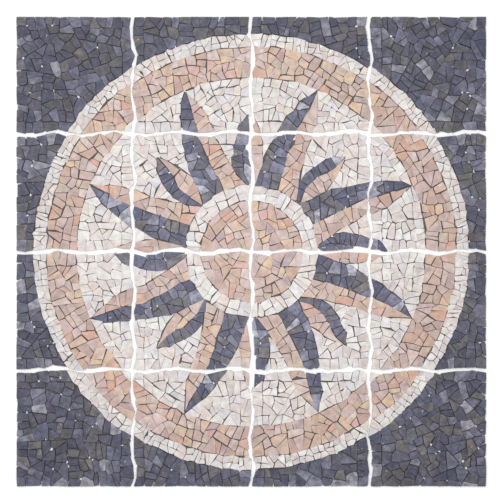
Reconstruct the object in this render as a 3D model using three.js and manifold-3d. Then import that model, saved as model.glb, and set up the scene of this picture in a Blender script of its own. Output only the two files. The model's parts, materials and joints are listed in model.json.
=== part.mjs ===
// Sun medallion in broken marble mosaic, as sixteen square mats of stone glued on
// glass-fibre net, laid loose and face up with a gap between the mats.
// Millimetres, +Z up out of the stone faces, +Y towards the top of the picture.
// The origin is the middle of the panel, on the surface that the nets lie on.
import * as THREE from "three";
import { mergeVertices } from "three/addons/utils/BufferGeometryUtils.js";
import Module from "manifold-3d";

// The grid of mats
const matsAcross = 4;
const matSide = 300;
const layingGap = 10.9;

// The cut between two mats wanders as a wave, the same on both of its sides
const cutWaveLength = 150;
const cutWaveHeight = 4.5;
const columnCutPhase = 106;
const rowCutPhase = 30;
const cutStep = 25;

// The layers of a mat, from its underside up
const netThickness = 0.6;
const netInset = 10;
const glueThickness = 0.5;
const stoneThickness = 8.5;

// The rings of the picture, from the edge of the panel inwards
const groundMargin = 45;
const whiteBandWidth = 32;
const pinkBandWidth = 78;
const openJoint = 2;

// The sun in the middle
const sunRingRadius = 167;
const sunRingWidth = 39;
const rayPairs = 8;
const shortRayReach = 346;

// Each ray is a dark half and a pink half, side by side. These are its three
// long lines from tip to foot, as shares of the ray's own length: how far out
// from the sun's ring, and how far across, counted anticlockwise.
const longRayLines = {
  darkEdge: [
    [1, 0], [0.9, 0.074], [0.8, 0.129], [0.657, 0.173],
    [0.443, 0.221], [0.306, 0.247], [0.122, 0.236], [-0.06, 0.231],
  ],
  middle: [[1, 0], [0.86, 0.004], [0.712, 0.026], [0.49, 0.041], [0.232, 0.025], [-0.02, 0]],
  pinkEdge: [
    [1, 0], [0.852, -0.059], [0.705, -0.107], [0.454, -0.111],
    [0.325, -0.129], [0.225, -0.14], [0.103, -0.17], [-0.06, -0.213],
  ],
};
const shortRayLines = {
  darkEdge: [
    [1, 0], [0.872, 0.128], [0.693, 0.205], [0.508, 0.243],
    [0.302, 0.262], [0.128, 0.207], [0.05, 0.123], [-0.02, 0.01],
  ],
  middle: [[1, 0], [0.743, 0], [0.598, 0.05], [0.458, 0.084], [0.251, 0.089], [-0.02, 0]],
  pinkEdge: [
    [1, 0], [0.821, -0.078], [0.682, -0.123], [0.391, -0.158],
    [0.251, -0.14], [0.145, -0.1], [-0.02, -0.01],
  ],
};

// How finely the curves are faceted
const bandFacets = 64;
const sunFacets = 48;
const longRaySteps = 7;
const shortRaySteps = 6;

// What follows from the sizes above
const half = (matsAcross * matSide) / 2;
const medallionRadius = half - groundMargin;
const pinkBandRadius = medallionRadius - whiteBandWidth - openJoint;
const fieldRadius = pinkBandRadius - pinkBandWidth - openJoint;
const sunDiscRadius = sunRingRadius - sunRingWidth - openJoint;
const longRayReach = fieldRadius;
const netTop = netThickness;
const glueTop = netTop + glueThickness;
const stoneTop = glueTop + stoneThickness;
// Cutters stand proud of what they cut, so that no two faces meet by chance
const overshoot = 5;

const finishes = {
  net: new THREE.MeshStandardMaterial({ color: 0xe9e7e0, roughness: 0.9 }),
  darkStone: new THREE.MeshStandardMaterial({ color: 0x585a62, roughness: 0.55 }),
  whiteStone: new THREE.MeshStandardMaterial({ color: 0xe8e0da, roughness: 0.5 }),
  pinkStone: new THREE.MeshStandardMaterial({ color: 0xd9ad98, roughness: 0.5 }),
};

const manifold = await Module();
manifold.setup();

// A closed solid for joining and cutting, from a three.js geometry
function toSolid(geometry) {
  const bare = geometry.clone();
  bare.deleteAttribute("normal");
  bare.deleteAttribute("uv");
  const merged = mergeVertices(bare, 1e-4);
  const mesh = new manifold.Mesh({
    numProp: 3,
    vertProperties: new Float32Array(merged.attributes.position.array),
    triVerts: new Uint32Array(merged.index.array),
  });
  return new manifold.Manifold(mesh);
}

// A three.js geometry from a solid
function toGeometry(solid) {
  const mesh = solid.getMesh();
  const geometry = new THREE.BufferGeometry();
  geometry.setAttribute("position", new THREE.BufferAttribute(mesh.vertProperties, mesh.numProp));
  geometry.setIndex(new THREE.BufferAttribute(mesh.triVerts, 1));
  geometry.computeVertexNormals();
  return geometry;
}

// An upright slab on a flat outline, between two heights
function slab(outline, bottom, top) {
  const shape = new THREE.Shape(outline);
  const geometry = new THREE.ExtrudeGeometry(shape, { depth: top - bottom, bevelEnabled: false });
  geometry.translate(0, 0, bottom);
  return toSolid(geometry);
}

// A round plate about the middle of the sun, between two heights
function plate(radius, facets, bottom, top) {
  const geometry = new THREE.CylinderGeometry(radius, radius, top - bottom, facets);
  geometry.rotateX(Math.PI / 2);
  geometry.translate(0, 0, (top + bottom) / 2);
  return toSolid(geometry);
}

// A flat ring of stone between two radii and two heights
function ring(inner, outer, facets, bottom, top) {
  const hole = plate(inner, facets, bottom - overshoot, top + overshoot);
  return plate(outer, facets, bottom, top).subtract(hole);
}

// How far a cut strays from its straight line; the panel's own edges are trimmed straight
function stray(cut, along, phase) {
  if (cut === 0 || cut === matsAcross) return 0;
  return cutWaveHeight * Math.cos((2 * Math.PI * (along - phase)) / cutWaveLength);
}

// The points of one cut, from one side of the panel to the other, as [along, across]
function cutLine(cut, phase) {
  const steps = Math.ceil((2 * half) / cutStep);
  const line = [];
  for (let step = 0; step <= steps; step += 1) {
    const along = (2 * half * step) / steps;
    line.push([along - half, cut * matSide - half + stray(cut, along, phase)]);
  }
  return line;
}

// A column is the strip between two upright cuts, measured from the top of the picture
function columnStrip(column, bottom, top) {
  const left = cutLine(column, columnCutPhase).map(([y, x]) => new THREE.Vector2(x, -y));
  const right = cutLine(column + 1, columnCutPhase).map(([y, x]) => new THREE.Vector2(x, -y));
  return slab([...left, ...right.reverse()], bottom, top);
}

// A row is the strip between two level cuts, row 0 at the top of the picture
function rowStrip(row, bottom, top) {
  const upper = cutLine(row, rowCutPhase).map(([x, y]) => new THREE.Vector2(x, -y));
  const lower = cutLine(row + 1, rowCutPhase).map(([x, y]) => new THREE.Vector2(x, -y));
  return slab([...lower, ...upper.reverse()], bottom, top);
}

// One long line of a ray, placed on the panel
function rayLine(line, reach, bearing, steps) {
  const length = reach - sunRingRadius;
  const points = line.map(([out, across]) => new THREE.Vector2(
    sunRingRadius + out * length,
    across * length,
  ));
  const middle = new THREE.Vector2(0, 0);
  return new THREE.SplineCurve(points).getPoints(steps)
    .map((point) => point.rotateAround(middle, bearing));
}

// An open joint that follows a line, cut down to the glue
function jointAlong(line) {
  const sides = [1, -1].map((side) => line.map((point, index) => {
    const before = line[Math.max(index - 1, 0)];
    const after = line[Math.min(index + 1, line.length - 1)];
    const direction = after.clone().sub(before).normalize();
    const offset = new THREE.Vector2(-direction.y, direction.x).multiplyScalar((side * openJoint) / 2);
    return point.clone().add(offset);
  }));
  return slab([...sides[1], ...sides[0].reverse()], glueTop, stoneTop + overshoot);
}

// The joints around and between the two halves of one ray
function rayJoints(lines, reach, bearing, steps) {
  return Object.values(lines)
    .map((line) => jointAlong(rayLine(line, reach, bearing, steps)))
    .reduce((joined, joint) => joined.add(joint));
}

// The ground that one whole ray covers
function rayBody(lines, reach, bearing, steps) {
  const darkSide = rayLine(lines.darkEdge, reach, bearing, steps);
  const pinkSide = rayLine(lines.pinkEdge, reach, bearing, steps);
  return slab([...darkSide, ...pinkSide.reverse().slice(0, -1)], glueTop, stoneTop + overshoot);
}

// All the ray joints of the sun: where a short ray meets a long one, the long one is whole
function sunJoints() {
  const turn = (2 * Math.PI) / rayPairs;
  let shortJoints = null;
  let longJoints = null;
  let longBodies = null;
  for (let pair = 0; pair < rayPairs; pair += 1) {
    const longBearing = (pair + 0.5) * turn;
    const short = rayJoints(shortRayLines, shortRayReach, pair * turn, shortRaySteps);
    const long = rayJoints(longRayLines, longRayReach, longBearing, longRaySteps);
    const body = rayBody(longRayLines, longRayReach, longBearing, longRaySteps);
    shortJoints = shortJoints ? shortJoints.add(short) : short;
    longJoints = longJoints ? longJoints.add(long) : long;
    longBodies = longBodies ? longBodies.add(body) : body;
  }
  return shortJoints.subtract(longBodies).add(longJoints)
    .intersect(ring(sunRingRadius, fieldRadius + openJoint, sunFacets, glueTop, stoneTop + overshoot));
}

// Dark stones outside the medallion
function darkGround() {
  const corner = new THREE.BoxGeometry(2 * half + 2 * overshoot, 2 * half + 2 * overshoot, stoneTop - netTop);
  corner.translate(0, 0, (stoneTop + netTop) / 2);
  const medallion = plate(medallionRadius + openJoint, bandFacets, 0, stoneTop + overshoot);
  return toSolid(corner).subtract(medallion);
}

// White marble: the outer band, the field around the rays and the sun's ring, held
// together by the film of glue that also runs on under the pink band. The joints
// around the halves of the rays are open down to that film.
function whiteMarble() {
  const proud = stoneTop + overshoot;
  const pinkBandSeat = ring(fieldRadius, pinkBandRadius + openJoint, bandFacets, glueTop, proud);
  const ringJoint = ring(sunRingRadius, sunRingRadius + openJoint, sunFacets, glueTop, proud);
  const hole = plate(sunDiscRadius + openJoint, sunFacets, 0, proud);
  return plate(medallionRadius, bandFacets, netTop, stoneTop)
    .subtract(hole)
    .subtract(pinkBandSeat)
    .subtract(ringJoint)
    .subtract(sunJoints());
}

// Pink marble: the band between the two white ones, and the disc of the sun
function pinkBand() {
  return ring(fieldRadius + openJoint, pinkBandRadius, bandFacets, glueTop, stoneTop);
}

function sunDisc() {
  return plate(sunDiscRadius, sunFacets, netTop, stoneTop);
}

const colours = [
  { name: "dark_ground", finish: finishes.darkStone, stones: darkGround() },
  { name: "white_marble", finish: finishes.whiteStone, stones: whiteMarble() },
  { name: "pink_band", finish: finishes.pinkStone, stones: pinkBand() },
  { name: "sun_disc", finish: finishes.pinkStone, stones: sunDisc() },
];

// The net under one mat
function net(row, column) {
  const side = matSide - 2 * netInset;
  const mesh = new THREE.Mesh(new THREE.BoxGeometry(side, side, netThickness), finishes.net);
  mesh.name = `net_row${row + 1}_col${column + 1}`;
  mesh.position.set(
    (column + 0.5) * matSide - half,
    half - (row + 0.5) * matSide,
    netThickness / 2,
  );
  return mesh;
}

// One mat: its net, and the stones of each colour that fall inside its cuts
function mat(row, column) {
  const group = new THREE.Group();
  group.add(net(row, column));
  const outline = columnStrip(column, 0, stoneTop + overshoot)
    .intersect(rowStrip(row, 0, stoneTop + overshoot));
  for (const { name, finish, stones } of colours) {
    const solid = stones.intersect(outline);
    if (!solid.isEmpty()) {
      const mesh = new THREE.Mesh(toGeometry(solid), finish);
      mesh.name = `${name}_row${row + 1}_col${column + 1}`;
      group.add(mesh);
    }
  }
  // The mats lie pulled apart from the middle of the panel
  const middle = (matsAcross - 1) / 2;
  group.position.set((column - middle) * layingGap, (middle - row) * layingGap, 0);
  return group;
}

const panel = new THREE.Group();
for (let row = 0; row < matsAcross; row += 1) {
  for (let column = 0; column < matsAcross; column += 1) {
    panel.add(mat(row, column));
  }
}

export default panel;
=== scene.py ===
# %% [markdown]
# The sun medallion is sixteen mats of broken marble. Each mat is a glass-fibre net,
# a film of glue, and some hundred and seventy stones that were broken with nippers and
# laid close. The frame gives the areas of colour as plain slabs, so this lesson takes
# each area, breaks it into stones, and gives every stone its own tone.

import json
import math
import random
import time

import bmesh
import bpy
import numpy as np
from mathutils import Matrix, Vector

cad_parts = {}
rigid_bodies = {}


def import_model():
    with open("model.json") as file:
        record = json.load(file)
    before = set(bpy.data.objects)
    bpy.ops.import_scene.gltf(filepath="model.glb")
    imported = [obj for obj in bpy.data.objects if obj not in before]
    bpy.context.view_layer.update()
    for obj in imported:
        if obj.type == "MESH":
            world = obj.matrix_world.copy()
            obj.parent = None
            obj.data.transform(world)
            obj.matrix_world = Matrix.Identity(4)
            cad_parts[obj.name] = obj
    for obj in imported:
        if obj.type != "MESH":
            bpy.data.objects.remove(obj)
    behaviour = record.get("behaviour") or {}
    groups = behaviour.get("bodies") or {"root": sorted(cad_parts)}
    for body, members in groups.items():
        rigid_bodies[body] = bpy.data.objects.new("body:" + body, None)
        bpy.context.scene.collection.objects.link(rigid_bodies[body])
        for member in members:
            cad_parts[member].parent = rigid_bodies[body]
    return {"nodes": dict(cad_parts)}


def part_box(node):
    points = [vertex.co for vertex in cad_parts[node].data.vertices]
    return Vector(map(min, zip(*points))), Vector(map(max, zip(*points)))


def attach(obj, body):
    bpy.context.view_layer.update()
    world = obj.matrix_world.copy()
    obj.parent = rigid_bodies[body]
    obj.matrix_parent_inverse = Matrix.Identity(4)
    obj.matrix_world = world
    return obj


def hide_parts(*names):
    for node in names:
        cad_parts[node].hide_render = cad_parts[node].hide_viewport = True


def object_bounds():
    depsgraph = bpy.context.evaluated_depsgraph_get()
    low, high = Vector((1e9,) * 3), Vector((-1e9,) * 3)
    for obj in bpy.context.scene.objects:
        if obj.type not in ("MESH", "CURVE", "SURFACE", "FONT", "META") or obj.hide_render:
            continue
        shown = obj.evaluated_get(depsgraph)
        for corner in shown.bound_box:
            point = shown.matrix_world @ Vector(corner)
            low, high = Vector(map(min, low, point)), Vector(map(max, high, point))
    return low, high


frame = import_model()
CAD_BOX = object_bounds()
STARTED = time.time()
print("frame", [round(x, 4) for corner in CAD_BOX for x in corner])

# %% [markdown]
# The photo looks straight down on the panel, with the top of the picture up. A long
# lens keeps the sides of the stones out of sight right up to the edges. The camera is
# made first, so that every later look at the panel has the same framing.

# %% camera
LENS = 0.1
SENSOR = 0.036
PICTURE_WIDTH = 1.3155
PICTURE_MIDDLE = (-0.0035, 0.0045)

camera_data = bpy.data.cameras.new("overhead")
camera_data.lens = LENS * 1000
camera_data.sensor_width = SENSOR * 1000
camera = bpy.data.objects.new("overhead", camera_data)
camera.location = (*PICTURE_MIDDLE, PICTURE_WIDTH * LENS / SENSOR)
bpy.context.collection.objects.link(camera)
bpy.context.scene.camera = camera
print("camera height", round(camera.location.z, 3))

# %% [markdown]
# The panel's own measures come from the frame. The nets say where the mats lie. A mat
# is 300 mm wide, and what its neighbour lies further away is the gap. Every mat was
# pulled away from the middle of the picture, so each has its own middle of the sun.

# %% the mats
MATS_ACROSS = 4
MAT_SIDE = 0.3


def mat_name(row, column):
    return f"row{row + 1}_col{column + 1}"


def mat_middle(row, column):
    low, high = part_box(f"net_{mat_name(row, column)}")
    return (low + high) / 2


LAYING_GAP = (mat_middle(0, 1) - mat_middle(0, 0)).x - MAT_SIDE
NET_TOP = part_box("net_row1_col1")[1].z
GLUE_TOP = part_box("pink_band_row1_col1")[0].z
STONE_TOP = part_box("dark_ground_row1_col1")[1].z


def sun_middle(row, column):
    middle = (MATS_ACROSS - 1) / 2
    return Vector(((column - middle) * LAYING_GAP, (middle - row) * LAYING_GAP, 0))


MATS = [(row, column) for row in range(MATS_ACROSS) for column in range(MATS_ACROSS)]
print("gap", round(LAYING_GAP, 4), "stones from", round(GLUE_TOP, 4), "to", round(STONE_TOP, 4))

# %% [markdown]
# Operators act on whatever is selected, so every step begins by picking one piece and
# nothing else. In edit mode the mesh is read through bmesh, to choose faces and edges
# by their place, and the operators do the cutting.

# %% picking and editing


def pick(*pieces):
    bpy.ops.object.select_all(action="DESELECT")
    for piece in pieces:
        piece.select_set(True)
    bpy.context.view_layer.objects.active = pieces[0]


def open_mesh(piece, select="SELECT"):
    pick(piece)
    bpy.ops.object.mode_set(mode="EDIT")
    bpy.ops.mesh.select_mode(type="FACE")
    bpy.ops.mesh.select_all(action=select)
    return bmesh.from_edit_mesh(piece.data)


def close_mesh():
    bpy.ops.object.mode_set(mode="OBJECT")


def choose(mesh, faces=None, edges=None, vertices=None):
    """Selects exactly these faces, edges or vertices of an open mesh."""
    bpy.ops.mesh.select_all(action="DESELECT")
    kind = "FACE" if faces is not None else "EDGE" if edges is not None else "VERT"
    bpy.ops.mesh.select_mode(type=kind)
    for element in faces or edges or vertices or []:
        element.select_set(True)
    mesh.select_flush_mode()


# %% [markdown]
# An area of stones starts as the top of a frame slab. The slab is copied and its corners
# are welded. The frame leaves 2 mm open between two areas, where real stones nearly
# touch, and at the cuts the stones will lose a little of their outline. So all walls but
# those at the panel's own edges are pushed out first. Then everything but the upper face
# is deleted, and the facets are dissolved, which leaves one flat outline for every area
# that the joints close off.

# %% the upper face of a slab
WELD = 1e-5
FLAT = 0.004
CLOSER = 0.0008
CUT_REACH = 0.008
EDGE_KEPT = 0.006
SIDEWAYS = 0.5


def near_cut(spot, row, column):
    """Whether a spot lies at the outline of its mat."""
    away = spot - mat_middle(row, column)
    return max(abs(away.x), abs(away.y)) > MAT_SIDE / 2 - CUT_REACH


def at_rim(spot):
    """Whether a spot lies at the panel's own straight edges."""
    return max(abs(spot.x), abs(spot.y)) > CAD_BOX[1][0] - EDGE_KEPT


def upper_face(node, name):
    pick(frame["nodes"][node])
    bpy.ops.object.duplicate()
    piece = bpy.context.object
    bpy.ops.object.parent_clear(type="CLEAR_KEEP_TRANSFORM")
    piece.name = name
    mesh = open_mesh(piece)
    bpy.ops.mesh.remove_doubles(threshold=WELD)
    upright = [f for f in mesh.faces if abs(f.normal.z) < SIDEWAYS]
    choose(mesh, faces=[f for f in upright if not at_rim(f.calc_center_median())])
    bpy.ops.transform.shrink_fatten(value=CLOSER, use_even_offset=True)
    lower = [f for f in mesh.faces
             if f.normal.z < SIDEWAYS or f.calc_center_median().z < STONE_TOP - WELD]
    choose(mesh, faces=lower)
    bpy.ops.mesh.delete(type="FACE")
    bpy.ops.mesh.select_all(action="SELECT")
    bpy.ops.mesh.dissolve_limited(angle_limit=FLAT)
    close_mesh()
    return piece


# %% [markdown]
# The white slabs hold the rays too, as closed islands between open joints. Which island
# is which follows from the drawing of the rays: three lines run from tip to foot of
# each, here as shares of its length out from the ring and across, anticlockwise. A
# spot inside the island is turned into the ray's own frame and compared with those
# lines. Four short rays lie along a cut. There the cut itself parts the halves: one mat
# holds the dark one and its neighbour the pink one.

# %% the drawing of the rays
RING_RADIUS = 0.167
DISC_RADIUS = 0.126
FIELD_RADIUS = 0.441
BAND_MIDDLE = 0.539
RAY_PAIRS = 8
ALONG_CUT = MAT_SIDE / 4
LONG_RAY = {
    "reach": FIELD_RADIUS,
    "dark": [(1, 0), (0.8, 0.129), (0.657, 0.173), (0.443, 0.221), (0.306, 0.247), (0, 0.232)],
    "middle": [(1, 0), (0.86, 0.004), (0.712, 0.026), (0.49, 0.041), (0.232, 0.025), (0, 0)],
    "pink": [(1, 0), (0.852, -0.059), (0.705, -0.107), (0.454, -0.111), (0.225, -0.14), (0, -0.2)],
}
SHORT_RAY = {
    "reach": 0.346,
    "dark": [(1, 0), (0.872, 0.128), (0.693, 0.205), (0.302, 0.262), (0.128, 0.207), (0, 0.03)],
    "middle": [(1, 0), (0.743, 0), (0.598, 0.05), (0.458, 0.084), (0.251, 0.089), (0, 0)],
    "pink": [(1, 0), (0.821, -0.078), (0.682, -0.123), (0.391, -0.158), (0.251, -0.14), (0, -0.01)],
}


def across(line, out):
    outs, sides = zip(*reversed(line))
    return float(np.interp(out, outs, sides))


def ray_half(spot, mat):
    """Which half of a ray covers a spot, or None on the open field.

    The spot and the middle of its mat are both seen from the sun's middle.
    """
    turn = 2 * math.pi / RAY_PAIRS
    for ray, first in ((LONG_RAY, turn / 2), (SHORT_RAY, 0)):
        bearing = math.atan2(spot.y, spot.x) - first
        bearing -= turn * round(bearing / turn)
        reach = ray["reach"] - RING_RADIUS
        out = (spot.length * math.cos(bearing) - RING_RADIUS) / reach
        side = spot.length * math.sin(bearing) / reach
        if out > 1 or not across(ray["pink"], out) < side < across(ray["dark"], out):
            continue
        heading = math.atan2(spot.y, spot.x) - bearing
        beside = mat.y * math.cos(heading) - mat.x * math.sin(heading)
        if ray is SHORT_RAY and abs(beside) > ALONG_CUT:
            return "dark_ray" if beside > 0 else "pink_ray"
        return "dark_ray" if side > across(ray["middle"], out) else "pink_ray"
    return None


def area_kind(spot, mat):
    if spot.length > FIELD_RADIUS:
        return "outer_band"
    if spot.length < RING_RADIUS:
        return "sun_ring"
    return ray_half(spot, mat) or "field"


beside_cut = Vector((0.008, 0.25))
right_mat = Vector((MAT_SIDE / 2, MAT_SIDE / 2))
print("right of the top cut:", ray_half(beside_cut, right_mat))
mirror = Vector((-1, 1))
print("left of the top cut:", ray_half(beside_cut * mirror, right_mat * mirror))

# %% [markdown]
# A mosaicist breaks a piece across its long way, again and again, until it has the size
# of a stone. The same is done here with bisect: the face that is still too large is
# selected, a few lines across it are tried on paper, and the one that leaves the two
# most compact halves is cut. Random angles from a seed keep the pattern lively, and a
# piece that is nearly a stone is now and then split the long way instead. A splinter is
# broken across until its parts are compact enough to lay.

# %% breaking one area
TRIES = 5
BLUNT = math.radians(48)
OFF_MIDDLE = 0.18
BALANCE = 0.3
LONG_SPLITS = 0.2
NEARLY = 3.2
SQUARE = 0.7
STONE_RANGE = (1.0, 1.75)
LEAST_STONE = 5e-5
LEAST_ROUND = 0.3
LEAST_PART = 3 * LEAST_STONE
NO_AREA = 1e-12


def outline(face):
    return [(loop.vert.co.x, loop.vert.co.y) for loop in face.loops]


def measure(points):
    """Area, perimeter and middle of a flat outline."""
    area = length = x = y = 0.0
    for (ax, ay), (bx, by) in zip(points, points[1:] + points[:1]):
        cross = ax * by - bx * ay
        area += cross / 2
        length += math.hypot(bx - ax, by - ay)
        x += (ax + bx) * cross / 6
        y += (ay + by) * cross / 6
    if abs(area) < NO_AREA:
        return 0.0, length, points[0]
    return area, length, (x / area, y / area)


def side_of(points, spot, normal):
    """The part of an outline on the far side of a line."""
    kept = []
    for (ax, ay), (bx, by) in zip(points, points[1:] + points[:1]):
        a = (ax - spot[0]) * normal[0] + (ay - spot[1]) * normal[1]
        b = (bx - spot[0]) * normal[0] + (by - spot[1]) * normal[1]
        if a >= 0:
            kept.append((ax, ay))
        if (a > 0) != (b > 0) and a != b:
            share = a / (a - b)
            kept.append((ax + (bx - ax) * share, ay + (by - ay) * share))
    return kept


def long_way(points, middle):
    """The direction in which an outline is longest, as an angle."""
    xx = yy = xy = 0.0
    for (ax, ay), (bx, by) in zip(points, points[1:] + points[:1]):
        weight = math.hypot(bx - ax, by - ay)
        x, y = (ax + bx) / 2 - middle[0], (ay + by) / 2 - middle[1]
        xx += weight * x * x
        yy += weight * y * y
        xy += weight * x * y
    return 0.5 * math.atan2(2 * xy, xx - yy)


def compact(points):
    """1 for a circle, 0.79 for a square, and little for a splinter."""
    area, length, _ = measure(points)
    return 4 * math.pi * area / length**2 if length else 0.0


def sharpest(points):
    """The smallest corner of an outline, as an angle."""
    corners = []
    before, after = points[-1:] + points[:-1], points[1:] + points[:1]
    for (ax, ay), (bx, by), (cx, cy) in zip(before, points, after):
        back, on = (ax - bx, ay - by), (cx - bx, cy - by)
        cross = on[0] * back[1] - on[1] * back[0]
        dot = on[0] * back[0] + on[1] * back[1]
        corners.append(math.atan2(cross, dot) % (2 * math.pi))
    return min(corners)


def best_cut(points, stone, tilt, dice):
    area, length, middle = measure(points)
    along = long_way(points, middle)
    if area < NEARLY * stone and compact(points) > SQUARE and dice.random() < LONG_SPLITS:
        along += math.pi / 2
    best = None
    for _ in range(TRIES):
        angle = along + dice.gauss(0, tilt)
        reach = dice.uniform(-OFF_MIDDLE, OFF_MIDDLE) * length / 4
        spot = (middle[0] + math.cos(along) * reach, middle[1] + math.sin(along) * reach)
        normal = (math.cos(angle), math.sin(angle))
        halves = [side_of(points, spot, normal), side_of(points, spot, (-normal[0], -normal[1]))]
        if min(len(half) for half in halves) < 3:
            continue
        areas = sorted(measure(half)[0] for half in halves)
        score = min(compact(half) for half in halves)
        score += BALANCE * areas[0] / max(areas[1], NO_AREA)
        score -= max(0.0, BLUNT - min(sharpest(half) for half in halves))
        if best is None or score > best[0]:
            best = (score, spot, normal)
    return best[1:] if best else None


def break_up(mesh, stone, tilt, dice):
    """Halves every face of an open mesh until all are about the size of a stone."""
    waiting = list(mesh.faces)
    while waiting:
        face = waiting.pop()
        limit = stone * dice.uniform(*STONE_RANGE)
        if face.is_valid and compact(outline(face)) < LEAST_ROUND:
            limit = min(limit, LEAST_PART)
        if not face.is_valid or face.calc_area() < limit:
            continue
        cut = best_cut(outline(face), stone, tilt, dice)
        if cut is None:
            continue
        choose(mesh, faces=[face])
        bpy.ops.mesh.bisect(plane_co=(*cut[0], STONE_TOP), plane_no=(*cut[1], 0))
        halves = {half for edge in mesh.edges if edge.select for half in edge.link_faces}
        waiting += sorted(halves, key=lambda half: tuple(half.calc_center_median()))


# %% [markdown]
# A cut made after another ends on it as a T, and long cuts run dead straight through
# many stones. A little smoothing of the inner corners bends the long lines, and a small
# random shift of all corners makes every side its own. The borders between the areas are
# laid by eye too, so a texture of clouds pushes all corners about. It is the same for
# every piece, so both sides of a border stray together.

# %% loosening the corners
PULL = 0.14
SHIFT = 0.0015
PUSH = 0.013
PUSH_SIZE = 0.017

push_clouds = bpy.data.textures.new("push", "CLOUDS")
push_clouds.cloud_type = "COLOR"
push_clouds.noise_scale = PUSH_SIZE


def loosen(mesh, seed):
    inner = [v for v in mesh.verts if not v.is_boundary]
    choose(mesh, vertices=inner)
    bpy.ops.mesh.vertices_smooth(factor=PULL)
    bpy.ops.mesh.select_all(action="SELECT")
    bpy.ops.transform.vertex_random(offset=SHIFT, uniform=1, normal=0, seed=seed)
    level()


def warp(piece):
    """Pushes all but the panel's own straight edges about, the same way in every piece."""
    mesh = bmesh.from_edit_mesh(piece.data)
    choose(mesh, vertices=[v for v in mesh.verts if not at_rim(v.co)])
    piece.vertex_groups.new(name="free")
    bpy.ops.object.vertex_group_assign()
    close_mesh()
    push = piece.modifiers.new("push", "DISPLACE")
    push.texture = push_clouds
    push.texture_coords = "LOCAL"
    push.direction = "RGB_TO_XYZ"
    push.vertex_group = "free"
    push.strength = PUSH
    bpy.ops.object.modifier_apply(modifier="push")
    piece.vertex_groups.clear()
    open_mesh(piece)
    level()


def level():
    """Brings all corners of an open mesh back to the height of the stones' faces."""
    bpy.ops.mesh.select_all(action="SELECT")
    bpy.ops.transform.resize(value=(1, 1, 0), center_override=(0, 0, STONE_TOP))


# %% [markdown]
# Scraps and splinters are given back to the neighbour with which they share their
# longest side, as a mosaicist would lay one larger stone there.

# %% giving back scraps
SPLINTER = 0.42


def give_back(mesh, least):
    for face in sorted(mesh.faces, key=lambda f: f.calc_area()):
        if not face.is_valid or (face.calc_area() > least and compact(outline(face)) > SPLINTER):
            continue
        shared = [edge for edge in face.edges if len(edge.link_faces) == 2]
        if shared:
            choose(mesh, edges=[max(shared, key=lambda edge: edge.calc_length())])
            bpy.ops.mesh.dissolve_edges(use_verts=False)


# %% [markdown]
# Some stones are laid in courses: one row along the sides of a mat, one row in the
# white field that follows the pink band, and two rows in each white ring. Straight
# courses are bisected. A round one is the cut of an upright tube, which the intersect
# operator draws on the flat area, after which the tube is deleted.

# %% courses
COURSE = 0.025
COURSE_STRAYS = 0.002
COURSE_TILT = math.radians(1.2)
TUBE_SIDES = 64
TUBE_DEPTH = 0.02


def straight_courses(row, column, dice):
    middle = mat_middle(row, column)
    for side in range(4):
        square = side * math.pi / 2
        reach = MAT_SIDE / 2 - COURSE + dice.uniform(-COURSE_STRAYS, COURSE_STRAYS)
        spot = middle + Vector((math.cos(square), math.sin(square), 0)) * reach
        tilted = square + dice.uniform(-COURSE_TILT, COURSE_TILT)
        bpy.ops.mesh.select_all(action="SELECT")
        bpy.ops.mesh.bisect(
            plane_co=(spot.x, spot.y, STONE_TOP),
            plane_no=(math.cos(tilted), math.sin(tilted), 0),
        )


def round_course(piece, row, column, radius):
    bpy.ops.mesh.select_all(action="DESELECT")
    middle = sun_middle(row, column)
    bpy.ops.mesh.primitive_cylinder_add(
        vertices=TUBE_SIDES, radius=radius, depth=TUBE_DEPTH, end_fill_type="NOTHING",
        location=(middle.x, middle.y, STONE_TOP),
    )
    bpy.ops.mesh.intersect(mode="SELECT_UNSELECT", separate_mode="NONE", solver="EXACT")
    mesh = bmesh.from_edit_mesh(piece.data)
    choose(mesh, faces=[f for f in mesh.faces if abs(f.normal.z) < SIDEWAYS])
    bpy.ops.mesh.delete(type="FACE")
    return bmesh.from_edit_mesh(piece.data)


# %% [markdown]
# Now the flat pattern becomes stones. Scraps are given back and large pieces broken in
# three rounds. The lines between stones are bevelled into strips, and the strips are
# deleted: those are the open joints. Stones that still touch are parted, tips as sharp
# as a needle are cut away, and what is too thin to lay is left out. Corners are nipped
# off, the outlines get a small random wobble, and each stone is drawn down to the glue.
# Last, the upper rim is bevelled, because tumbled marble has no sharp edge left.

# %% from pattern to stones
# What a scrap is in each round, and what a stone, as shares of the area's own stone.
ROUNDS = ((0.45, 1), (0.3, 1.5), (0.2, 3))
NEAR_CORNERS = 0.0032
STRAIGHT = math.radians(9)
# The share of corners that are nipped, how deep, and whether they lie at a cut.
NIPS = ((0.13, 0.0036, False), (0.3, 0.0015, False), (0.2, 0.0026, True), (0.15, 0.0015, True))
NIP_ROOM = 2.6
WOBBLE = 0.0004
RIM = 0.0006
SHORTEST = 0.0013
NEEDLE = math.radians(8)


def open_joints(piece, mesh, width):
    piece.data.materials.append(None)
    joint_slot = len(piece.data.materials) - 1
    inner = [edge for edge in mesh.edges if len(edge.link_faces) == 2]
    choose(mesh, edges=inner)
    bpy.ops.mesh.bevel(offset=width / 2, segments=1, affect="EDGES", clamp_overlap=False,
                       material=joint_slot)
    mesh = bmesh.from_edit_mesh(piece.data)
    choose(mesh, faces=[f for f in mesh.faces if f.material_index == joint_slot])
    bpy.ops.mesh.delete(type="FACE")
    bpy.ops.mesh.select_all(action="SELECT")
    bpy.ops.mesh.edge_split(type="VERT")
    return bmesh.from_edit_mesh(piece.data)


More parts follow.
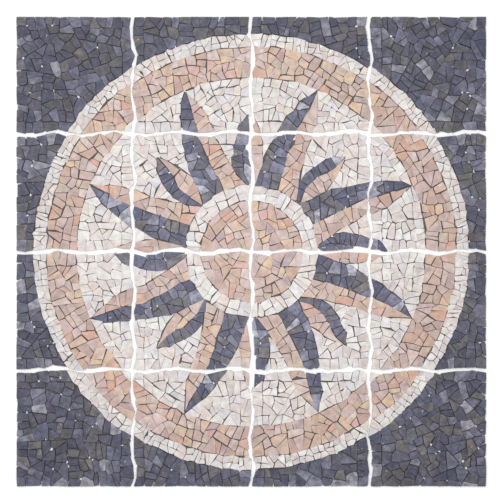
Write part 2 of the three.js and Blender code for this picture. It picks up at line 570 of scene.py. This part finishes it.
def drop_slivers(mesh):
    """Takes off tips as sharp as a needle, and stones that are too thin to lay."""
    tips = {loop.vert for face in mesh.faces for loop in face.loops if loop.calc_angle() < NEEDLE}
    if tips:
        choose(mesh, vertices=tips)
        bpy.ops.mesh.dissolve_verts()
    thin = [f for f in mesh.faces if f.calc_area() < LEAST_STONE or f.normal.z < SIDEWAYS
            or compact(outline(f)) < LEAST_ROUND]
    choose(mesh, faces=thin)
    bpy.ops.mesh.delete(type="FACE")
    bpy.ops.mesh.select_mode(type="VERT")
    bpy.ops.mesh.select_all(action="SELECT")
    bpy.ops.mesh.delete_loose(use_verts=True, use_edges=True, use_faces=False)


def nip_corners(piece, row, column, dice):
    """Nips corners off, and tells where the largest were."""
    holes = []
    for share, size, at_cut in NIPS:
        mesh = bmesh.from_edit_mesh(piece.data)
        sharp = [v for v in mesh.verts if dice.random() < share
                 and near_cut(v.co, row, column) == at_cut
                 and min(edge.calc_length() for edge in v.link_edges) > NIP_ROOM * size]
        if size == NIPS[0][1]:
            holes += [v.co.copy() for v in sharp]
        choose(mesh, vertices=sharp)
        bpy.ops.mesh.bevel(offset=size, segments=1, affect="VERTICES", clamp_overlap=False)
    return holes


def wobble(seed):
    bpy.ops.mesh.select_all(action="SELECT")
    bpy.ops.transform.vertex_random(offset=WOBBLE, uniform=1, normal=0, seed=seed)
    level()
    bpy.ops.mesh.dissolve_degenerate(threshold=SHORTEST)


def thicken(piece):
    bpy.ops.mesh.select_mode(type="FACE")
    bpy.ops.mesh.select_all(action="SELECT")
    depth = GLUE_TOP - STONE_TOP
    bpy.ops.mesh.extrude_region_move(TRANSFORM_OT_translate={"value": (0, 0, depth)})
    bpy.ops.mesh.select_all(action="SELECT")
    bpy.ops.mesh.normals_make_consistent(inside=False)
    mesh = bmesh.from_edit_mesh(piece.data)
    choose(mesh, faces=[f for f in mesh.faces if f.normal.z > SIDEWAYS])
    bpy.ops.mesh.bevel(offset=RIM, segments=2, affect="EDGES", clamp_overlap=False)


def lay_stones(piece, row, column, area, seed):
    """Breaks a flat area into stones, in place, and tells where corners are missing."""
    stone, tilt = area["stone"], math.radians(area["tilt"])
    dice = random.Random(seed)
    mesh = open_mesh(piece)
    for course in area["courses"]:
        if course == "sides":
            straight_courses(row, column, dice)
        else:
            mesh = round_course(piece, row, column, course)
    for scrap, size in ROUNDS:
        give_back(mesh, scrap * stone)
        break_up(mesh, size * stone, tilt, dice)
    bpy.ops.mesh.select_all(action="SELECT")
    bpy.ops.mesh.remove_doubles(threshold=NEAR_CORNERS)
    loosen(mesh, seed)
    mesh = open_joints(piece, mesh, area["joint"])
    drop_slivers(mesh)
    bpy.ops.mesh.select_all(action="SELECT")
    bpy.ops.mesh.dissolve_degenerate(threshold=SHORTEST)
    bpy.ops.mesh.dissolve_limited(angle_limit=STRAIGHT)
    warp(piece)
    holes = nip_corners(piece, row, column, dice)
    wobble(seed)
    drop_slivers(bmesh.from_edit_mesh(piece.data))
    thicken(piece)
    close_mesh()
    return holes


# %% [markdown]
# Every stone is now a closed mesh of its own inside its piece. Laid by hand, each is a
# little turned and a little smaller than its place, which makes some joints wide and
# shuts others, and each is pressed a little deeper or askew into the glue. Each also
# gets its own numbers: a tone, which picks its colour, and a spot in the quarry, so that
# no vein runs on into the next stone. They are stored on the corners, for the materials.

# %% seating and numbering the stones
TURN = math.radians(1.9)
SMALLER = 0.12
SINK = 0.0007
ASKEW = math.radians(0.9)
QUARRY = 40.0


def stones_of(data):
    """The number of the stone that each corner belongs to, by following the edges."""
    owner = np.arange(len(data.vertices))
    pairs = np.empty(len(data.edges) * 2, int)
    data.edges.foreach_get("vertices", pairs)
    pairs = pairs.reshape(-1, 2)
    while True:
        low = np.minimum(owner[pairs[:, 0]], owner[pairs[:, 1]])
        before = owner.copy()
        np.minimum.at(owner, pairs[:, 0], low)
        np.minimum.at(owner, pairs[:, 1], low)
        owner = owner[owner]
        if (owner == before).all():
            return np.unique(owner, return_inverse=True)[1]


def seat(piece, seed):
    """Turns, sinks and numbers every stone, and keeps all of them inside the panel's box."""
    dice = np.random.default_rng(seed)
    data = piece.data
    stone = stones_of(data)
    count = stone.max() + 1
    places = np.empty(len(data.vertices) * 3)
    data.vertices.foreach_get("co", places)
    places = places.reshape(-1, 3)
    middles = np.stack([np.bincount(stone, places[:, axis]) for axis in range(3)], 1)
    middles /= np.bincount(stone)[:, None]
    turn = dice.normal(0, TURN, count).clip(-2 * TURN, 2 * TURN)[stone]
    size = 1 - SMALLER * dice.uniform(0, 1, count) ** 3
    away = (places[:, :2] - middles[stone, :2]) * size[stone, None]
    away = np.stack([away[:, 0] * np.cos(turn) - away[:, 1] * np.sin(turn),
                     away[:, 0] * np.sin(turn) + away[:, 1] * np.cos(turn)], 1)
    places[:, :2] = middles[stone, :2] + away
    places[:, :2] = places[:, :2].clip(CAD_BOX[0][:2], CAD_BOX[1][:2])
    lean = dice.normal(0, ASKEW / 2, (count, 2)).clip(-ASKEW, ASKEW)
    lift = (away * lean[stone]).sum(1)
    upper = places[:, 2] > (STONE_TOP + GLUE_TOP) / 2
    highest = np.full(count, -1.0)
    np.maximum.at(highest, stone, np.where(upper, lift, -1.0))
    sink = dice.uniform(0, SINK, count) + highest
    places[:, 2] += np.where(upper, lift - sink[stone], 0)
    data.vertices.foreach_set("co", places.ravel())
    tone = data.attributes.new("tone", "FLOAT", "POINT")
    tone.data.foreach_set("value", dice.uniform(0, 1, count)[stone])
    quarry = data.attributes.new("quarry", "FLOAT_VECTOR", "POINT")
    quarry.data.foreach_set("vector", dice.uniform(0, QUARRY, (count, 3))[stone].ravel())
    data.update()
    return count


# %% [markdown]
# Shader maths is written as plain sums. A Wire holds one output of a node tree, and
# adding or multiplying wires adds the Math nodes. Anything else comes from one method,
# which takes the node's type, its settings, and what goes into its sockets.

# %% wires


class Wire:
    def __init__(self, tree, socket):
        self.tree = tree
        self.socket = socket

    def node(self, kind, settings=None, inputs=None, output=0):
        made = self.tree.nodes.new(kind)
        for name, value in (settings or {}).items():
            if name == "stops":
                set_stops(made.color_ramp, value)
            else:
                setattr(made, name, value)
        for name, value in (inputs or {}).items():
            if isinstance(value, Wire):
                self.tree.links.new(value.socket, made.inputs[name])
            else:
                made.inputs[name].default_value = value
        return Wire(self.tree, made.outputs[output])

    def sum(self, operation, *terms):
        return self.node("ShaderNodeMath", {"operation": operation}, dict(enumerate(terms)))

    def __add__(self, other):
        return self.sum("ADD", self, other)

    def __sub__(self, other):
        return self.sum("SUBTRACT", self, other)

    def __rsub__(self, other):
        return self.sum("SUBTRACT", other, self)

    def __mul__(self, other):
        return self.sum("MULTIPLY", self, other)

    def ramp(self, stops, mode="LINEAR"):
        return self.node("ShaderNodeValToRGB", {"stops": (stops, mode)}, {"Fac": self})

    def between(self, low, high):
        """0 below low, 1 above high, and even between them."""
        ends = {"From Min": low, "From Max": high}
        return self.node("ShaderNodeMapRange", {}, {"Value": self, **ends})


def set_stops(ramp, value):
    stops, ramp.interpolation = value
    while len(ramp.elements) < len(stops):
        ramp.elements.new(1.0)
    for element, (place, colour) in zip(ramp.elements, stops):
        element.position = place
        element.color = colour


def rgb(text):
    """A colour as the shader wants it, from the six digits that a paint program shows."""
    parts = [int(text[i:i + 2], 16) / 255 for i in (0, 2, 4)]
    linear = [p / 12.92 if p <= 0.04045 else ((p + 0.055) / 1.055) ** 2.4 for p in parts]
    return (*linear, 1.0)


def blend(wire, factor, one, other, mode="MIX"):
    return wire.node(
        "ShaderNodeMix",
        {"data_type": "RGBA", "blend_type": mode},
        {0: factor, 6: one, 7: other},
        output=2,
    )


def new_finish(name):
    material = bpy.data.materials.new(name)
    material.use_nodes = True
    tree = material.node_tree
    shader = tree.nodes["Principled BSDF"]
    return material, Wire(tree, None), shader


def connect(wire, shader, socket):
    wire.tree.links.new(wire.socket, shader.inputs[socket])


# %% [markdown]
# Marble is a base tone per stone with patches of a second one, clouded softly, crossed
# by a few veins, and pitted where it broke. The dark marble has flecks of lime, and the
# rays are laid with a lighter sort of it than the ground. One function makes all the
# marbles from their tones: the ramp jumps from one colour to the next, because each
# stone comes from one block.

# %% marble
# The floor of the photo is blown out to plain white, while the whitest marble isn't. So
# the stones reflect a fixed share of what their tones in the picture say. A tone also
# holds the gleam of the bright studio on the stone's face, and the shader adds that
# itself, so it is taken off first.
STONE_SHARE = 0.725
GLEAM = 0.05
DARKEST = 0.004
OTHER_TONE = 0.37

# The scale and the detail of each cloud of noise.
SOFT_CLOUDS = (70.0, 5.0)
FINE_CLOUDS = (420.0, 3.0)
PATCH_CLOUDS = (45.0, 3.0)
VEIN_CLOUDS = (38.0, 5.0)
FLECK_CLOUDS = (110.0, 1.0)
PIT_CLOUDS = (900.0, 1.0)

# Where in its cloud a patch, vein, fleck or pit begins, and where it ends.
PATCH_EDGE = (0.5, 0.62)
VEIN_EDGE = (0.0, 0.012)
FLECK_EDGE = (0.745, 0.775)
PIT_EDGE = (0.28, 0.36)

FLECK_TONE = "d8d4d0"
PIT_TONE = "6e625a"
PIT_SHADE = 0.35
ROUGHNESS_VARIES = 0.2
FINE_RELIEF = 0.5
SOFT_RELIEF = 0.8
PIT_RELIEF = 0.4
RELIEF_STRENGTH = 0.35
RELIEF_HEIGHT = 0.0006


def stone_tone(text):
    return (*(max(part - GLEAM, DARKEST) for part in rgb(text)[:3]), 1.0)


def marble(name, tones, clouds, patches, veins, vein_tone, flecks, roughness, lighter):
    material, wire, shader = new_finish(name)
    tone = wire.node("ShaderNodeAttribute", {"attribute_name": "tone"}, output="Fac")
    quarry = wire.node("ShaderNodeAttribute", {"attribute_name": "quarry"}, output="Vector")
    place = wire.node("ShaderNodeTexCoord", output="Object")
    spot = wire.node("ShaderNodeVectorMath", {"operation": "ADD"}, {0: place, 1: quarry})

    def cloud(scale, detail):
        return wire.node(
            "ShaderNodeTexNoise", {}, {"Vector": spot, "Scale": scale, "Detail": detail},
            output="Fac",
        )

    stops = [(start, stone_tone(colour)) for start, colour in tones]
    base = tone.ramp(stops, "CONSTANT")
    other = wire.sum("FRACT", tone + OTHER_TONE).ramp(stops, "CONSTANT")
    soft, fine = cloud(*SOFT_CLOUDS), cloud(*FINE_CLOUDS)
    patch = cloud(*PATCH_CLOUDS).between(*PATCH_EDGE)
    mixed = blend(wire, patch * patches, base, other)
    shade = (soft - 0.5) * clouds + (fine - 0.5) * (clouds * 0.5) + 1.0
    shaded = wire.node(
        "ShaderNodeVectorMath", {"operation": "SCALE"},
        {0: mixed, "Scale": shade * (STONE_SHARE * lighter)},
    )
    vein = 1.0 - wire.sum("ABSOLUTE", cloud(*VEIN_CLOUDS) - 0.5).between(*VEIN_EDGE)
    colour = blend(wire, vein * veins, shaded, stone_tone(vein_tone))
    fleck = cloud(*FLECK_CLOUDS).between(*FLECK_EDGE)
    colour = blend(wire, fleck * flecks, colour, stone_tone(FLECK_TONE))
    # The pits are hollows in the relief, and darkening them towards PIT_TONE is painted shade in
    # those hollows.
    pits = 1.0 - cloud(*PIT_CLOUDS).between(*PIT_EDGE)
    colour = blend(wire, pits * PIT_SHADE, colour, stone_tone(PIT_TONE))
    connect(colour, shader, "Base Color")
    level_roughness = roughness - ROUGHNESS_VARIES / 2
    connect(soft * ROUGHNESS_VARIES + level_roughness, shader, "Roughness")
    height = fine * FINE_RELIEF + soft * SOFT_RELIEF - pits * PIT_RELIEF
    bump = wire.node(
        "ShaderNodeBump", {},
        {"Height": height, "Strength": RELIEF_STRENGTH, "Distance": RELIEF_HEIGHT},
    )
    connect(bump, shader, "Normal")
    return material


WHITE_TONES = [
    (0.0, "e2dcdb"), (0.2, "e6e3dd"), (0.38, "dcd1cf"), (0.56, "dbd8db"), (0.7, "e3d7d0"),
    (0.84, "eae7e6"), (0.93, "d3c8c5"),
]
PINK_TONES = [
    (0.0, "ccb3ac"), (0.12, "d2beb8"), (0.23, "d5bcab"), (0.37, "cab5b3"), (0.47, "bfa8a1"),
    (0.58, "c9ad9d"), (0.7, "dbc8c3"), (0.77, "dcc1a6"), (0.83, "c6b7aa"), (0.88, "d3aa98"),
    (0.93, "d8b2ad"), (0.97, "b8a7ac"),
]
DARK_TONES = [
    (0.0, "57586a"), (0.18, "605f6e"), (0.33, "68697b"), (0.47, "69686f"), (0.57, "747486"),
    (0.67, "666469"), (0.76, "5f5f6e"), (0.84, "858595"), (0.9, "767273"), (0.95, "9c9ba6"),
]
white_marble = marble(
    "white_marble", WHITE_TONES, clouds=0.9, patches=0.8, veins=0.35, vein_tone="b7a79c",
    flecks=0, roughness=0.5, lighter=1.02,
)
pink_marble = marble(
    "pink_marble", PINK_TONES, clouds=1.0, patches=0.9, veins=0.35, vein_tone="b08a7a",
    flecks=0, roughness=0.5, lighter=1.02,
)
DARK_LOOK = {
    "clouds": 2.6, "patches": 0.5, "veins": 0.25, "vein_tone": "9a9996",
    "flecks": 0.35, "roughness": 0.55,
}
dark_marble = marble("dark_marble", DARK_TONES, lighter=0.96, **DARK_LOOK)
dark_ray_marble = marble("dark_ray_marble", DARK_TONES, lighter=1.38, **DARK_LOOK)

# %% [markdown]
# All areas are laid with the same steps. What differs is the marble, how large the
# stones are in square metres, how many degrees a break may tilt, how wide the joints
# are, and which courses the stones follow. A piece stands for one area in one mat.

# %% laying the areas
AREAS = {
    "ground": {
        "finish": dark_marble, "slot": "dark_stone",
        "stone": 7.2e-4, "tilt": 26, "joint": 0.0005, "courses": ["sides"],
    },
    "outer_band": {
        "finish": white_marble, "slot": "white_stone",
        "stone": 3.3e-4, "tilt": 12, "joint": 0.0003, "courses": [BAND_MIDDLE],
    },
    "pink_band": {
        "finish": pink_marble, "slot": "pink_stone",
        "stone": 6.2e-4, "tilt": 26, "joint": 0.0006, "courses": [],
    },
    "field": {
        "finish": white_marble, "slot": "white_stone",
        "stone": 5.4e-4, "tilt": 22, "joint": 0.0003,
        "courses": [FIELD_RADIUS - COURSE, "sides"],
    },
    "dark_ray": {
        "finish": dark_ray_marble, "slot": "dark_stone",
        "stone": 6.4e-4, "tilt": 20, "joint": 0.0006, "courses": [],
    },
    "pink_ray": {
        "finish": pink_marble, "slot": "pink_stone",
        "stone": 6.0e-4, "tilt": 24, "joint": 0.0006, "courses": [],
    },
    "sun_ring": {
        "finish": white_marble, "slot": "white_stone",
        "stone": 6.2e-4, "tilt": 12, "joint": 0.0003,
        "courses": [(RING_RADIUS + DISC_RADIUS) / 2],
    },
    "sun_disc": {
        "finish": pink_marble, "slot": "pink_stone",
        "stone": 6.2e-4, "tilt": 26, "joint": 0.0006, "courses": [],
    },
}
SCRAP_AREA = 5e-5
WHOLE_NODES = {"dark_ground": "ground", "pink_band": "pink_band", "sun_disc": "sun_disc"}
MAT_SEEDS = 1000
AREA_SEEDS = 10


def split_white(piece, row, column):
    """Parts the white slab's upper face into its islands, joined again by kind."""
    open_mesh(piece)
    bpy.ops.mesh.separate(type="LOOSE")
    close_mesh()
    kinds = {}
    middle = sun_middle(row, column)
    for island in list(bpy.context.selected_objects):
        if sum(face.area for face in island.data.polygons) < SCRAP_AREA:
            bpy.data.objects.remove(island)
            continue
        island.data.calc_loop_triangles()
        largest = max(island.data.loop_triangles, key=lambda triangle: triangle.area)
        spot = sum((island.data.vertices[v].co for v in largest.vertices), Vector()) / 3
        kind = area_kind((spot - middle).xy, (mat_middle(row, column) - middle).xy)
        kinds.setdefault(kind, []).append(island)
    for kind, islands in kinds.items():
        pick(*islands)
        if len(islands) > 1:
            bpy.ops.object.join()
        kinds[kind] = bpy.context.object
    return kinds


def areas_of(row, column):
    """Yields each area of a mat: the node it comes from, its kind, and its upper face."""
    name = mat_name(row, column)
    for node, kind in WHOLE_NODES.items():
        if f"{node}_{name}" in frame["nodes"]:
            yield f"{node}_{name}", kind, upper_face(f"{node}_{name}", kind)
    white = f"white_marble_{name}"
    for kind, piece in split_white(upper_face(white, "white"), row, column).items():
        yield white, kind, piece


def finish_piece(piece, name, finish, slot, node):
    piece.name = name
    piece.data.name = name
    piece.data.materials.clear()
    piece.data.materials.append(finish)
    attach(piece, "root")
    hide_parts(node)


laid = {kind: 0 for kind in AREAS}
dark_holes = {mat: [] for mat in MATS}
for row, column in MATS:
    for node, kind, piece in areas_of(row, column):
        area = AREAS[kind]
        seed = MAT_SEEDS * (row * MATS_ACROSS + column) + AREA_SEEDS * list(AREAS).index(kind)
        holes = lay_stones(piece, row, column, area, seed)
        if area["slot"] == "dark_stone":
            dark_holes[row, column] += holes
        laid[kind] += seat(piece, seed)
        name = f"{kind}_stones_{mat_name(row, column)}"
        finish_piece(piece, name, area["finish"], area["slot"], node)
print("stones", laid, sum(laid.values()), "after", round(time.time() - STARTED, 1), "s")

# %% [markdown]
# Under the stones of each mat lies a film of glue on a net of glass fibre. The film was
# spread with a comb, so its surface is a little uneven and its outline is ragged: a grid
# whose corners are pushed about and which is drawn down to the net. Its colour is mostly a
# dark brown-grey, which is painted shade of the deep joints above it, with a pale blot of
# the glue's own colour here and there. Where a corner was nipped off, some of the glue was
# squeezed up between the stones, and between dark stones those pale crumbs catch the eye.
# A crumb is a stub of a cone, bevelled and roughened once, and copied from hole to hole.
# The net is one flat thread, bevelled, repeated across the mat and laid crosswise in two
# layers. The three finishes are two tones, blotted by noise that is coarse on the glue and
# fine on the fibre.

# %% glue and net


def blotted(name, scale, detail, stops, roughness):
    material, wire, shader = new_finish(name)
    place = wire.node("ShaderNodeTexCoord", output="Object")
    blots = wire.node(
        "ShaderNodeTexNoise", {}, {"Vector": place, "Scale": scale, "Detail": detail},
        output="Fac",
    )
    ends = [(start, rgb(colour)) for start, colour in stops]
    connect(blots.ramp(ends), shader, "Base Color")
    shader.inputs["Roughness"].default_value = roughness
    return material


# The glue's dark tone 564f4a is painted shade of the deep joints; the pale cfc9be blots are the
# glue's own colour.
glue_with_painted_shade = blotted("glue", 90.0, 4.0, [(0.6, "564f4a"), (0.72, "cfc9be")], 0.6)
glass_fibre = blotted("glass_fibre", 1500.0, 2.0, [(0.3, "d8d5cc"), (0.7, "f1efe9")], 0.7)
pale_crumb = blotted("pale_crumb", 700.0, 2.0, [(0.35, "a9a8ac"), (0.6, "d8d7da")], 0.8)

GLUE_INSET = 0.011
GLUE_STEPS = 24
GLUE_RAGGED = 0.003
GLUE_UNEVEN = 0.03
NET_PITCH = 0.005
THREAD = 0.0012
THREAD_RIM = THREAD / 10


def glue_film(row, column):
    name = mat_name(row, column)
    middle = mat_middle(row, column)
    bpy.ops.object.select_all(action="DESELECT")
    bpy.ops.mesh.primitive_grid_add(
        x_subdivisions=GLUE_STEPS, y_subdivisions=GLUE_STEPS,
        size=MAT_SIDE - 2 * GLUE_INSET, location=(middle.x, middle.y, GLUE_TOP),
    )
    piece = bpy.context.object
    bpy.ops.object.transform_apply(location=True)
    open_mesh(piece)
    seed = MATS_ACROSS * row + column
    bpy.ops.transform.vertex_random(offset=GLUE_RAGGED, uniform=1, normal=0, seed=seed)
    bpy.ops.transform.resize(value=(1, 1, GLUE_UNEVEN), center_override=(0, 0, GLUE_TOP))
    depth = NET_TOP - GLUE_TOP
    bpy.ops.mesh.extrude_region_move(TRANSFORM_OT_translate={"value": (0, 0, depth)})
    bpy.ops.transform.resize(value=(1, 1, 0), center_override=(0, 0, NET_TOP))
    bpy.ops.mesh.select_all(action="SELECT")
    bpy.ops.mesh.normals_make_consistent(inside=False)
    close_mesh()
    finish_piece(piece, f"glue_film_{name}", glue_with_painted_shade, "net", f"white_marble_{name}")


CRUMB_SHARE = 0.28
CRUMB_SIDES = 7
CRUMB_WIDE = 0.0036
CRUMB_TAPER = 0.7
CRUMB_NARROW = (0.5, 1.3)
CRUMB_LONG = (0.7, 1.9)
CRUMB_DEEP = 0.0004
CRUMB_ROUGH = 0.0007
CRUMB_SEED = 5
CRUMB_TURN = 6


def crumb_pattern():
    tall = STONE_TOP - CRUMB_DEEP - GLUE_TOP
    bpy.ops.object.select_all(action="DESELECT")
    bpy.ops.mesh.primitive_cone_add(
        vertices=CRUMB_SIDES, radius1=CRUMB_WIDE, radius2=CRUMB_TAPER * CRUMB_WIDE,
        depth=tall, location=(0, 0, GLUE_TOP + tall / 2),
    )
    piece = bpy.context.object
    bpy.ops.object.transform_apply(location=True)
    mesh = open_mesh(piece)
    top = max(v.co.z for v in mesh.verts) - WELD
    choose(mesh, edges=[e for e in mesh.edges if min(v.co.z for v in e.verts) > top])
    bpy.ops.mesh.bevel(offset=CRUMB_ROUGH, segments=1)
    bpy.ops.mesh.select_all(action="SELECT")
    rough = CRUMB_ROUGH / 2
    bpy.ops.transform.vertex_random(offset=rough, uniform=1, normal=0, seed=CRUMB_SEED)
    close_mesh()
    return piece


def glue_crumbs(pattern, row, column, holes):
    name = mat_name(row, column)
    dice = random.Random(MATS_ACROSS * row + column)
    copies = []
    for hole in holes:
        if dice.random() < CRUMB_SHARE:
            pick(pattern)
            bpy.ops.object.duplicate()
            crumb = bpy.context.object
            crumb.location = (hole.x, hole.y, 0)
            crumb.rotation_euler = (0, 0, dice.uniform(0, CRUMB_TURN))
            crumb.scale = (dice.uniform(*CRUMB_LONG), dice.uniform(*CRUMB_NARROW), 1)
            copies.append(crumb)
    if copies:
        pick(*copies)
        bpy.ops.object.join()
        bpy.ops.object.transform_apply(location=True, rotation=True, scale=True)
        piece = bpy.context.object
        finish_piece(piece, f"glue_crumbs_{name}", pale_crumb, "net", f"white_marble_{name}")


def net_threads(row, column):
    name = mat_name(row, column)
    low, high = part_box(f"net_{name}")
    spaces = int((high.x - low.x) / NET_PITCH)
    layer = (high.z - low.z) / 2
    bpy.ops.object.select_all(action="DESELECT")
    bpy.ops.mesh.primitive_cube_add(size=1, location=(0, 0, 0))
    piece = bpy.context.object
    piece.scale = (THREAD, high.y - low.y, layer)
    piece.location = (low.x + THREAD / 2, (low.y + high.y) / 2, low.z + 1.5 * layer)
    bpy.ops.object.transform_apply(location=True, rotation=True, scale=True)
    mesh = open_mesh(piece)
    choose(mesh, edges=[e for e in mesh.edges if e.calc_length() > MAT_SIDE / 2])
    bpy.ops.mesh.bevel(offset=THREAD_RIM, segments=1)
    close_mesh()
    repeat = piece.modifiers.new("repeat", "ARRAY")
    repeat.use_relative_offset = False
    repeat.use_constant_offset = True
    repeat.constant_offset_displace = ((high.x - low.x - THREAD) / spaces, 0, 0)
    repeat.count = spaces + 1
    bpy.ops.object.modifier_apply(modifier="repeat")
    open_mesh(piece)
    bpy.ops.mesh.duplicate()
    middle = ((low.x + high.x) / 2, (low.y + high.y) / 2, 0)
    bpy.ops.transform.rotate(value=math.pi / 2, orient_axis="Z", center_override=middle)
    bpy.ops.transform.translate(value=(0, 0, -layer))
    close_mesh()
    finish_piece(piece, f"net_threads_{name}", glass_fibre, "net", f"net_{name}")


pattern = crumb_pattern()
for row, column in MATS:
    glue_film(row, column)
    glue_crumbs(pattern, row, column, dark_holes[row, column])
    net_threads(row, column)
bpy.data.objects.remove(pattern)
print("nets and glue after", round(time.time() - STARTED, 1), "s")

# %% [markdown]
# The panel lies on a plain white ground in soft, even studio light. It comes from all
# round, and a little more of it from one large lamp nearly straight above, so that the
# joints are dark and the stones' faces even.

# %% floor and light
FLOOR_SIDE = 12.0
FLOOR_WHITE = 0.93
FLOOR_ROUGHNESS = 0.9
STUDIO_LIGHT = 0.78
LAMP_SIDE = 1.5
LAMP_WATTS = 32
LAMP_PLACE = Vector((-0.12, 0.18, 2.0))

bpy.ops.object.select_all(action="DESELECT")
bpy.ops.mesh.primitive_plane_add(size=FLOOR_SIDE, location=(0, 0, 0))
floor = bpy.context.object
floor.name = "floor"
floor_white, _, shader = new_finish("floor_white")
shader.inputs["Base Color"].default_value = (FLOOR_WHITE, FLOOR_WHITE, FLOOR_WHITE, 1)
shader.inputs["Roughness"].default_value = FLOOR_ROUGHNESS
floor.data.materials.append(floor_white)

world = bpy.data.worlds.new("studio")
world.use_nodes = True
background = world.node_tree.nodes["Background"]
background.inputs["Color"].default_value = (1, 1, 1, 1)
background.inputs["Strength"].default_value = STUDIO_LIGHT
bpy.context.scene.world = world

lamp_data = bpy.data.lights.new("soft_box", "AREA")
lamp_data.size = LAMP_SIDE
lamp_data.energy = LAMP_WATTS
lamp = bpy.data.objects.new("soft_box", lamp_data)
lamp.location = LAMP_PLACE
lamp.rotation_euler = (-LAMP_PLACE).to_track_quat("-Z", "Y").to_euler()
bpy.context.collection.objects.link(lamp)
bpy.context.scene.view_settings.view_transform = "Standard"
print("lamp", [round(x, 2) for x in lamp.location], "floor", floor.name)
